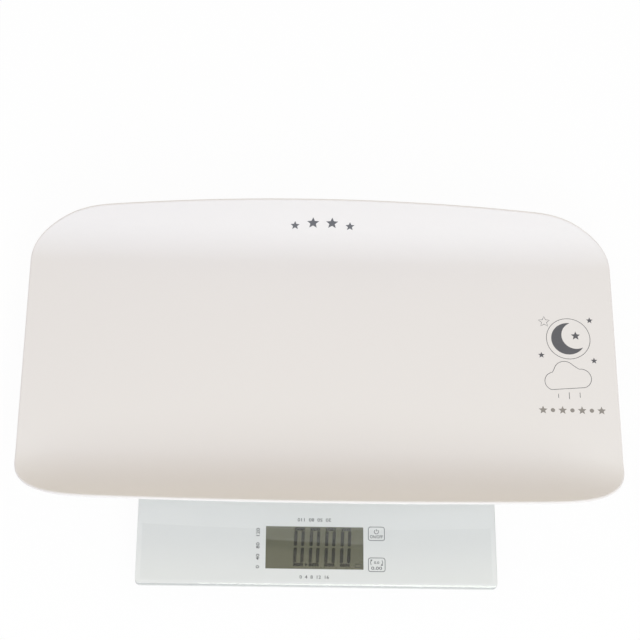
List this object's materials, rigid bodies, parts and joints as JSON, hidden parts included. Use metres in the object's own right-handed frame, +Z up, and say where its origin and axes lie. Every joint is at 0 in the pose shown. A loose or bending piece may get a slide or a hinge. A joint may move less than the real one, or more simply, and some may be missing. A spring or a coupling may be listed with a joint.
{
  "type": "digital baby weighing scale",
  "caption": "White lying tray with curved-up long sides, lifted off a square glass platform scale with a grey display and touch keys at its front edge.",
  "frame": {"origin": "on the floor, under the middle of the whole object's box", "axes": "+X to the right along the tray's length, +Y to the back, away from the display, +Z up"},
  "size_m": [0.55, 0.36, 0.072],
  "materials": {
    "tray_plastic": "warm white satin",
    "base_plastic": "white satin",
    "clear_glass": "polished, with a ground bevel",
    "white_print": "flat white print",
    "foam": "matt foam",
    "grey_rubber": "matt",
    "black_plastic": "matt",
    "lcd_glass": "grey-green reflective display",
    "carbon_rubber": "matt conductive rubber",
    "circuit_green": "solder mask",
    "plain_steel": "stamped and plated",
    "battery_jacket": "plain sleeve",
    "gauge_epoxy": "gloss bead",
    "black_wire": "soft sleeve",
    "red_wire": "soft sleeve"
  },
  "bodies": {
    "platform": {"glass_top": "clear_glass", "white_backing": "white_print", "bond_tape": "foam", "base_housing": "base_plastic", "display_frame": "black_plastic", "lcd_panel": "lcd_glass", "zebra_strips": "carbon_rubber", "circuit_board": "circuit_green", "controller_chip": "black_plastic", "touch_pad_power": "carbon_rubber", "touch_pad_hold": "carbon_rubber", "unit_switch": "black_plastic", "board_screws": "plain_steel", "load_cell_front_left": "plain_steel", "load_cell_front_right": "plain_steel", "load_cell_back_left": "plain_steel", "load_cell_back_right": "plain_steel", "cell_retainer_front_left": "base_plastic", "cell_retainer_front_right": "base_plastic", "cell_retainer_back_left": "base_plastic", "cell_retainer_back_right": "base_plastic", "strain_gauges": "gauge_epoxy", "cell_wire_front_left": "black_wire", "cell_wire_front_right": "black_wire", "cell_wire_back_left": "black_wire", "cell_wire_back_right": "black_wire", "battery_springs": "plain_steel", "battery_plates": "plain_steel", "battery_front": "battery_jacket", "battery_middle": "battery_jacket", "battery_rear": "battery_jacket", "battery_lead_red": "red_wire", "battery_lead_black": "black_wire", "foot_front_left": "base_plastic", "foot_sole_front_left": "grey_rubber", "foot_ring_front_left": "plain_steel", "foot_front_right": "base_plastic", "foot_sole_front_right": "grey_rubber", "foot_ring_front_right": "plain_steel", "foot_back_left": "base_plastic", "foot_sole_back_left": "grey_rubber", "foot_ring_back_left": "plain_steel", "foot_back_right": "base_plastic", "foot_sole_back_right": "grey_rubber", "foot_ring_back_right": "plain_steel"},
    "tray": {"tray_shell": "tray_plastic", "tray_frame": "tray_plastic", "tray_pad_front_left": "grey_rubber", "tray_pad_front_right": "grey_rubber", "tray_pad_back_left": "grey_rubber", "tray_pad_back_right": "grey_rubber"},
    "battery_door": {"battery_door": "base_plastic"},
    "unit_button": {"unit_button": "base_plastic"}
  },
  "joints": [
    {"name": "tray_lift", "type": "slide", "parent": "platform", "child": "tray", "axis": [0, 0, 1], "range_m": [0, 0.08]},
    {"name": "battery_door_hinge", "type": "hinge", "parent": "platform", "child": "battery_door", "pos_m": [-0.003, -0.0325, 0.005], "axis": [-1, 0, 0], "range_deg": [0, 85]},
    {"name": "unit_button_press", "type": "slide", "parent": "platform", "child": "unit_button", "axis": [0, 0, 1], "range_m": [0, 0.0005], "stiffness_N_per_m": 3000}
  ]
}
